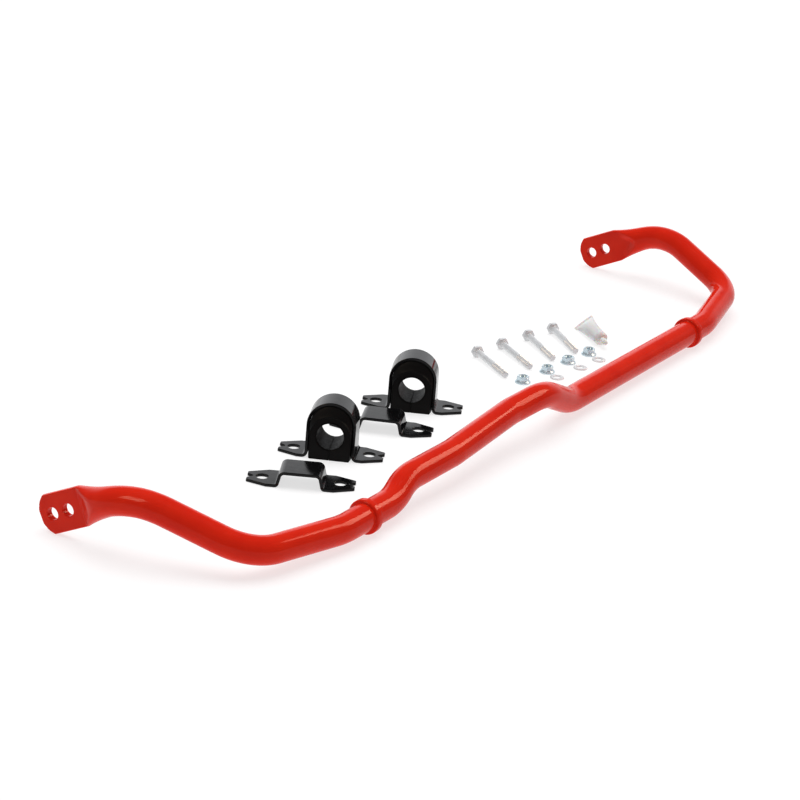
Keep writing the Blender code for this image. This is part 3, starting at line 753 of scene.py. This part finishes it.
def build_bush(side, matrix):
    """Split bush whose ends slope in from the saddle's arch to a rimmed face about the bore."""
    shoulder = BUSH_HALF_LENGTH - BUSH_SHOULDER
    edge = BUSH_HALF_LENGTH - BUSH_RIM
    half_stations = []
    for degrees in range(90, -1, -15):
        angle = math.radians(degrees)
        y = edge + BUSH_RIM * math.cos(angle)
        half_stations.append((y, 0.0, BUSH_RIM * math.sin(angle)))
    for part in np.linspace(0.125, 1.0, 8):
        half_stations.append((edge + (shoulder - edge) * part, part * part * (3 - 2 * part), 0.0))
    rings = []
    mirrored = [(-y, part, inset) for y, part, inset in reversed(half_stations)]
    for y, part, inset in half_stations + mirrored:
        to_face = BUSH_HALF_LENGTH - abs(y)
        radius = BAR_RADIUS + max(0.0, BUSH_BORE_CHAMFER - to_face)
        outline = bush_outline(part, inset) + bush_bore(radius)
        rings.append([(x, y, z) for x, z in outline])
    bush = make_object(f"split_bush_{side}", skin(rings), matrix)
    dress(bush, f"bush_{side}", RUBBER, 40.0)


def ears_angle(kind, side):
    """Direction of a saddle's or strap's own x axis, from its two ear mounts."""
    spots = {mount["name"]: Vector(mount["pos_m"]) for mount in frame["record"]["mounts"]}
    run = spots[f"{kind}_{side}_front_ear"] - spots[f"{kind}_{side}_rear_ear"]
    return math.atan2(run.y, run.x)


def build_brackets():
    for side in ("left", "right"):
        middle = node_middle(f"saddle_{side}")
        matrix = placed(middle.x, middle.y, 0.0, ears_angle("saddle", side))
        bent_sheet(f"saddle_bracket_{side}", saddle_line(), f"saddle_{side}", matrix)
        build_bush(side, matrix)
        middle = node_middle(f"strap_{side}")
        matrix = placed(middle.x, middle.y, 0.0, ears_angle("strap", side))
        bent_sheet(f"backing_strap_{side}", strap_line(), f"strap_{side}", matrix)


# ---------------------------------------------------------------- fasteners

def thread_height(z):
    """Height of a right-hand thread above its root at each angle, from 0 to 1."""
    phase = (z / THREAD_PITCH - ROUND_ANGLES / math.tau) % 1.0
    ridge = 1.0 - np.abs(2.0 * phase - 1.0)
    return np.clip((ridge - THREAD_ROOT_FLAT) / THREAD_FLANK, 0.0, 1.0)


def bolt_stations():
    """(radius, z) from the head's outer face to the end of the thread."""
    flats = hexagon(HEAD_HALF_FLATS)
    face = HEAD_HALF_FLATS - FACE_INSET
    stations = [(0.6, HEAD_DISH), (face * 0.55, HEAD_DISH), (face * 0.8, HEAD_DISH / 3), (face - 0.25, 0.0)]
    for step in range(7):
        z = CHAMFER_START + CHAMFER_STEP * step
        stations.append((np.minimum(flats, face + z * CHAMFER_RISE), z))
    stations += [(flats, z) for z in (1.1, 2.5, HEAD_HEIGHT - 0.8)]
    stations += [(np.minimum(flats, HEAD_HALF_FLATS + gain), HEAD_HEIGHT - depth)
                 for gain, depth in HEAD_UNDERSIDE]
    stations += [(radius, HEAD_HEIGHT - depth) for radius, depth in WASHER_FACE]
    centre = (BOLT_SHANK_RADIUS + HEAD_FILLET, HEAD_HEIGHT + HEAD_FILLET)
    stations += arc(centre, HEAD_FILLET, 270, 180, 3)
    end = HEAD_HEIGHT + BOLT_LENGTH
    thread_start = end - THREADED_LENGTH
    shank = np.linspace(HEAD_HEIGHT + SHANK_START, thread_start - THREAD_RUNOUT, 6)
    stations += [(BOLT_SHANK_RADIUS, z) for z in shank]
    steps = round(THREADED_LENGTH / THREAD_PITCH * THREAD_STEPS)
    root = THREAD_RADIUS - THREAD_DEPTH
    for step in range(steps):
        z = thread_start + THREADED_LENGTH * step / steps
        fade = min(1.0, (z - thread_start) / (2 * THREAD_PITCH))
        radius = root + THREAD_DEPTH * thread_height(z)
        radius = BOLT_SHANK_RADIUS + (radius - BOLT_SHANK_RADIUS) * fade
        stations.append((np.minimum(radius, root - POINT_CHAMFER + end - z), z))
    stations += [(root - POINT_CHAMFER - 0.05, end - 0.02), (root - 2 * POINT_CHAMFER, end)]
    return stations


def build_bolts():
    """Bolts that lie on the bench on head and thread, fitted to the boxes of their CAD nodes."""
    for number in range(1, 5):
        node = f"bolt_{number}"
        low, high = box_mm(node)
        size = high - low
        corner = HEAD_HALF_FLATS / math.cos(math.radians(30))
        wide = corner + THREAD_RADIUS
        droop = math.asin((HEAD_HALF_FLATS - THREAD_RADIUS) / (HEAD_HEIGHT + BOLT_LENGTH))
        run = (HEAD_HEIGHT + BOLT_LENGTH) * math.cos(droop)
        along = (run * size.x - wide * size.y) / (run * run - wide * wide)
        aside = (run * size.y - wide * size.x) / (run * run - wide * wide)
        angle = math.atan2(-aside, -along)
        rest = low.z + HEAD_HALF_FLATS + HEAD_LIFT
        head = Vector((high.x - corner * aside, high.y - corner * along, rest))
        matrix = placed(head.x, head.y, head.z, angle) @ Matrix.Rotation(math.radians(90) + droop, 4, "Y")
        bolt = make_object(f"hex_bolt_{number}", polar(bolt_stations()))
        bolt.data.transform(matrix)
        dress(bolt, node, BOLT_ZINC, 28.0)


def nut_stations():
    """Loop of (radius, z): up the outside of a flange nut and down its thread."""
    flats = hexagon(NUT_HALF_FLATS, math.radians(30))
    bore = NUT_BORE_RADIUS + NUT_BORE_CHAMFER
    stations = [(bore, 0.0)]
    stations += [(NUT_FLANGE_RADIUS + gain, z) for gain, z in NUT_FLANGE_EDGE]
    rim, base = stations[-1]
    for part in np.linspace(0.1, 1.0, 12):
        slope = rim + (NUT_HALF_FLATS - 0.1 - rim) * part ** NUT_SLOPE_POWER
        stations.append((np.maximum(slope, flats), base + NUT_SLOPE_HEIGHT * part))
    stations += [(flats, 4.6), (flats, 6.2)]
    face = NUT_HALF_FLATS - FACE_INSET
    for step in range(7, -1, -1):
        to_top = CHAMFER_STEP * step
        stations.append((np.minimum(flats, face + to_top * CHAMFER_RISE), NUT_HEIGHT - to_top))
    stations += [(face - 0.15, NUT_HEIGHT), (bore + 0.15, NUT_HEIGHT - 0.02), (bore, NUT_HEIGHT - 0.1)]
    top = NUT_HEIGHT - NUT_THREAD_INSET
    for z in np.linspace(top, NUT_THREAD_INSET, NUT_THREAD_SECTIONS + 1):
        fade = min(1.0, (top - z) / NUT_THREAD_RUNOUT, (z - NUT_THREAD_INSET) / NUT_THREAD_RUNOUT)
        stations.append((NUT_BORE_RADIUS - THREAD_DEPTH * thread_height(z) * max(fade, 0.0), z))
    return stations


def build_nuts():
    for node, turn in NUT_TURNS.items():
        middle = node_middle(node)
        nut = make_object(f"flange_{node}", polar(nut_stations(), loop=True),
                          placed(middle.x, middle.y, 0.0, math.radians(turn)))
        dress(nut, node, NUT_ZINC, 28.0)


def build_washers():
    """Stamped washers: rolled edges on top, a crisper edge below."""
    top = WASHER_THICKNESS
    rolled, bore_rolled, crisp = WASHER_ROLLED_EDGE, WASHER_ROLLED_BORE, WASHER_CRISP_EDGE
    outline = arc((WASHER_RADIUS - rolled, top - rolled), rolled, 90, 0, 5)
    outline += arc((WASHER_RADIUS - crisp, crisp), crisp, 0, -90, 2)
    outline += arc((WASHER_BORE_RADIUS + crisp, crisp), crisp, 270, 180, 2)
    outline += arc((WASHER_BORE_RADIUS + bore_rolled, top - bore_rolled), bore_rolled, 180, 90, 5)
    for number in range(1, 5):
        node = f"washer_{number}"
        middle = node_middle(node)
        washer = make_object(f"flat_{node}", polar(outline, loop=True), placed(middle.x, middle.y, 0.0, 0.0))
        dress(washer, node, WASHER_ZINC, 50.0)


# --------------------------------------------------------------- grease tube

def tube_ring(distance, half_wide, half_thin):
    """Oval section across the tube, tilted as the crimp lies on the bench."""
    ring = []
    for angle in ROUND_ANGLES:
        a = half_wide * math.cos(angle)
        b = half_thin * math.sin(angle)
        ring.append((distance, a * math.cos(CRIMP_TILT) - b * math.sin(CRIMP_TILT),
                     a * math.sin(CRIMP_TILT) + b * math.cos(CRIMP_TILT)))
    return ring


def build_tube():
    """Soft tube from its ribbed crimp to its round end, a moulded shoulder, and the cap."""
    along = next(joint["axis"] for joint in frame["joints"] if joint["child"] == "grease_cap")
    angle = math.atan2(along[1], along[0])
    low, high = box_mm("grease_cap")
    cap_middle = (low + high) / 2
    to_cap = TUBE_LENGTH + SHOULDER_LENGTH + CAP_GAP + CAP_LENGTH / 2
    x = cap_middle.x - math.cos(angle) * to_cap
    y = cap_middle.y - math.sin(angle) * to_cap
    matrix = placed(x, y, TUBE_AXIS_HEIGHT, angle)
    rings = []
    for distance in np.linspace(0.0, CRIMP_LENGTH, 41):
        ribbed = RIBS_START < distance < RIBS_END
        rib = RIB_HEIGHT * math.sin(distance * math.tau / RIB_PITCH) if ribbed else 0.0
        rings.append(tube_ring(distance, CRIMP_HALF_WIDTH, CRIMP_HALF_THICKNESS + rib))
    for part in np.linspace(0.03, 1.0, 40):
        roundness = math.sin(math.pi / 2 * part ** 0.75)
        swelling = math.sin(roundness * math.pi / 2)
        wide = CRIMP_HALF_WIDTH + (TUBE_RADIUS - CRIMP_HALF_WIDTH) * roundness
        thin = CRIMP_HALF_THICKNESS + (TUBE_RADIUS - CRIMP_HALF_THICKNESS) * swelling
        rings.append(tube_ring(CRIMP_LENGTH + (TUBE_LENGTH - CRIMP_LENGTH) * part, wide, thin))
    rounding = TUBE_END_ROUNDING
    for distance, radius in arc((TUBE_LENGTH, TUBE_RADIUS - rounding), rounding, 90, 0, 3)[1:]:
        rings.append(tube_ring(distance, radius, radius))
    tube = make_object("soft_grease_tube", skin(rings), matrix)
    dress(tube, "grease_tube", TUBE_PLASTIC, 60.0)

    turn = matrix @ Matrix.Rotation(math.radians(90), 4, "Y")
    neck = TUBE_LENGTH + SHOULDER_LENGTH
    hidden = TUBE_LENGTH - 1.5
    dome = [(1.0, hidden), (TUBE_RADIUS - 0.9, hidden), (TUBE_RADIUS - 0.35, TUBE_LENGTH - 0.4)]
    for degrees in range(0, 66, 5):
        swing = math.radians(degrees)
        dome.append((TUBE_RADIUS * math.cos(swing) - 0.3,
                     TUBE_LENGTH + 0.4 + SHOULDER_DOME * math.sin(swing)))
    dome += [(2.6, neck - 0.5), (SPOUT_RADIUS + 0.15, neck - 0.1), (SPOUT_RADIUS, neck + 0.2),
             (SPOUT_RADIUS, neck + SPOUT_LENGTH - 0.5), (SPOUT_RADIUS - 0.5, neck + SPOUT_LENGTH)]
    shoulder = make_object("tube_shoulder", polar(dome), turn)
    dress(shoulder, "grease_tube", CAP_PLASTIC, 40.0, replaces=False)

    start = neck + CAP_GAP
    grip = CAP_RADIUS - CAP_RIDGE_HEIGHT + CAP_RIDGE_HEIGHT * np.cos(ROUND_ANGLES * CAP_RIDGES)
    outside = [(CAP_RADIUS - 0.35, start), (CAP_RADIUS, start + 0.3), (CAP_RADIUS, start + 1.4),
               (grip, start + 1.8), (grip - 0.1, start + 6.5), (CAP_RADIUS - 0.25, start + 7.2)]
    for degrees in (10, 25, 40, 55, 68, 78, 84):
        swing = math.radians(degrees)
        outside.append(((CAP_RADIUS - 0.3) * math.cos(swing) ** 0.8,
                        start + CAP_DOME_START + (CAP_LENGTH - CAP_DOME_START) * math.sin(swing)))
    bore = SPOUT_RADIUS + 0.3
    inside = [(0.4, start + SPOUT_LENGTH + 0.3), (bore - 0.3, start + SPOUT_LENGTH + 0.3),
              (bore, start + SPOUT_LENGTH), (bore, start + 0.4), (bore + 0.3, start)]
    cap = make_object("spout_cap", polar(inside + outside), turn)
    dress(cap, "grease_cap", CAP_PLASTIC, 40.0)


# -------------------------------------------------------------------- studio

def studio_surround():
    world = bpy.data.worlds.new("studio")
    world.use_nodes = True
    nodes, links = world.node_tree.nodes, world.node_tree.links
    place = nodes.new("ShaderNodeTexCoord")
    shares = []
    behind = (-math.sin(CAMERA_AZIMUTH), math.cos(CAMERA_AZIMUTH), 0.0)
    for direction, (start, end) in ((behind, BACKDROP_SIDES), ((0.0, 0.0, 1.0), BACKDROP_TOP[::-1])):
        along = nodes.new("ShaderNodeVectorMath")
        along.operation = "DOT_PRODUCT"
        along.inputs[1].default_value = direction
        links.new(place.outputs["Generated"], along.inputs[0])
        shares.append(remap(nodes, links, along.outputs["Value"], 0.0, 1.0, start, end))
    both = nodes.new("ShaderNodeMath")
    both.operation = "MULTIPLY"
    links.new(shares[0], both.inputs[0])
    links.new(shares[1], both.inputs[1])
    light = remap(nodes, links, both.outputs["Value"], ROOM_LIGHT, BACKDROP_LIGHT, 0.0, 1.0)
    links.new(light, nodes["Background"].inputs["Strength"])
    nodes["Background"].inputs["Color"].default_value = BACKDROP_COLOUR
    bpy.context.scene.world = world


def add_lamp(name, kind, energy, rotation, location=(0, 0, 0), size=None):
    """Lamp that shines along its own -z axis; size is for an area lamp."""
    light = bpy.data.lights.new(name, kind)
    light.energy = energy
    lamp = bpy.data.objects.new(name, light)
    lamp.rotation_mode = "QUATERNION"
    lamp.rotation_quaternion = rotation
    lamp.location = location
    if size:
        light.shape = "RECTANGLE"
        light.size, light.size_y = size
    bpy.context.scene.collection.objects.link(lamp)
    return lamp


def build_studio():
    floor_builder = bmesh.new()
    bmesh.ops.create_grid(floor_builder, x_segments=2, y_segments=2, size=FLOOR_HALF_SIZE)
    floor = make_object("studio_floor", floor_builder)
    floor.location.z = -FLOOR_DROP
    shades = ((FLOOR_SHADE,) * 3, (FLOOR_SHADE * 0.97,) * 3)
    floor.data.materials.append(surface(
        "pale_floor", shades, (0.75, 0.85), (3.0, 0.2), mottle=2.0, Specular_IOR_Level=0.05,
        Emission_Color=(1.0, 1.0, 1.0, 1.0), Emission_Strength=FLOOR_GLOW))
    studio_surround()
    tilt = Vector((OVERHEAD_LEAN[0], OVERHEAD_LEAN[1], 1.0)).to_track_quat("Z", "Y")
    overhead = add_lamp("overhead_softbox", "SUN", OVERHEAD_POWER, tilt)
    overhead.data.angle = OVERHEAD_SPREAD
    overhead.visible_glossy = False
    for name, spot, size, power in SOFTBOXES:
        aim = (Vector(spot) - SOFTBOX_TARGET).to_track_quat("Z", "Y")
        softbox = add_lamp(name, "AREA", power, aim, spot, size)
        softbox.visible_diffuse = False
        softbox.data.color = SOFTBOX_COLOUR


def build_camera():
    back = Vector((math.sin(CAMERA_AZIMUTH) * math.cos(CAMERA_ELEVATION),
                   -math.cos(CAMERA_AZIMUTH) * math.cos(CAMERA_ELEVATION), math.sin(CAMERA_ELEVATION)))
    data = bpy.data.cameras.new("camera")
    data.sensor_width = 36.0
    data.lens = CAMERA_LENS
    data.shift_x = CAMERA_SHIFT
    camera = bpy.data.objects.new("camera", data)
    camera.location = CAMERA_AIM + back * CAMERA_DISTANCE
    camera.rotation_mode = "QUATERNION"
    level = (-back).to_track_quat("-Z", "Y")
    camera.rotation_quaternion = level @ Matrix.Rotation(CAMERA_ROLL, 3, "Z").to_quaternion()
    bpy.context.scene.collection.objects.link(camera)
    bpy.context.scene.camera = camera


build_camera()
build_bar()
build_collars()
build_brackets()
build_bolts()
build_nuts()
build_washers()
build_tube()
build_studio()
bpy.context.scene.view_settings.view_transform = "Standard"
bpy.context.scene.view_settings.gamma = PRINT_GAMMA
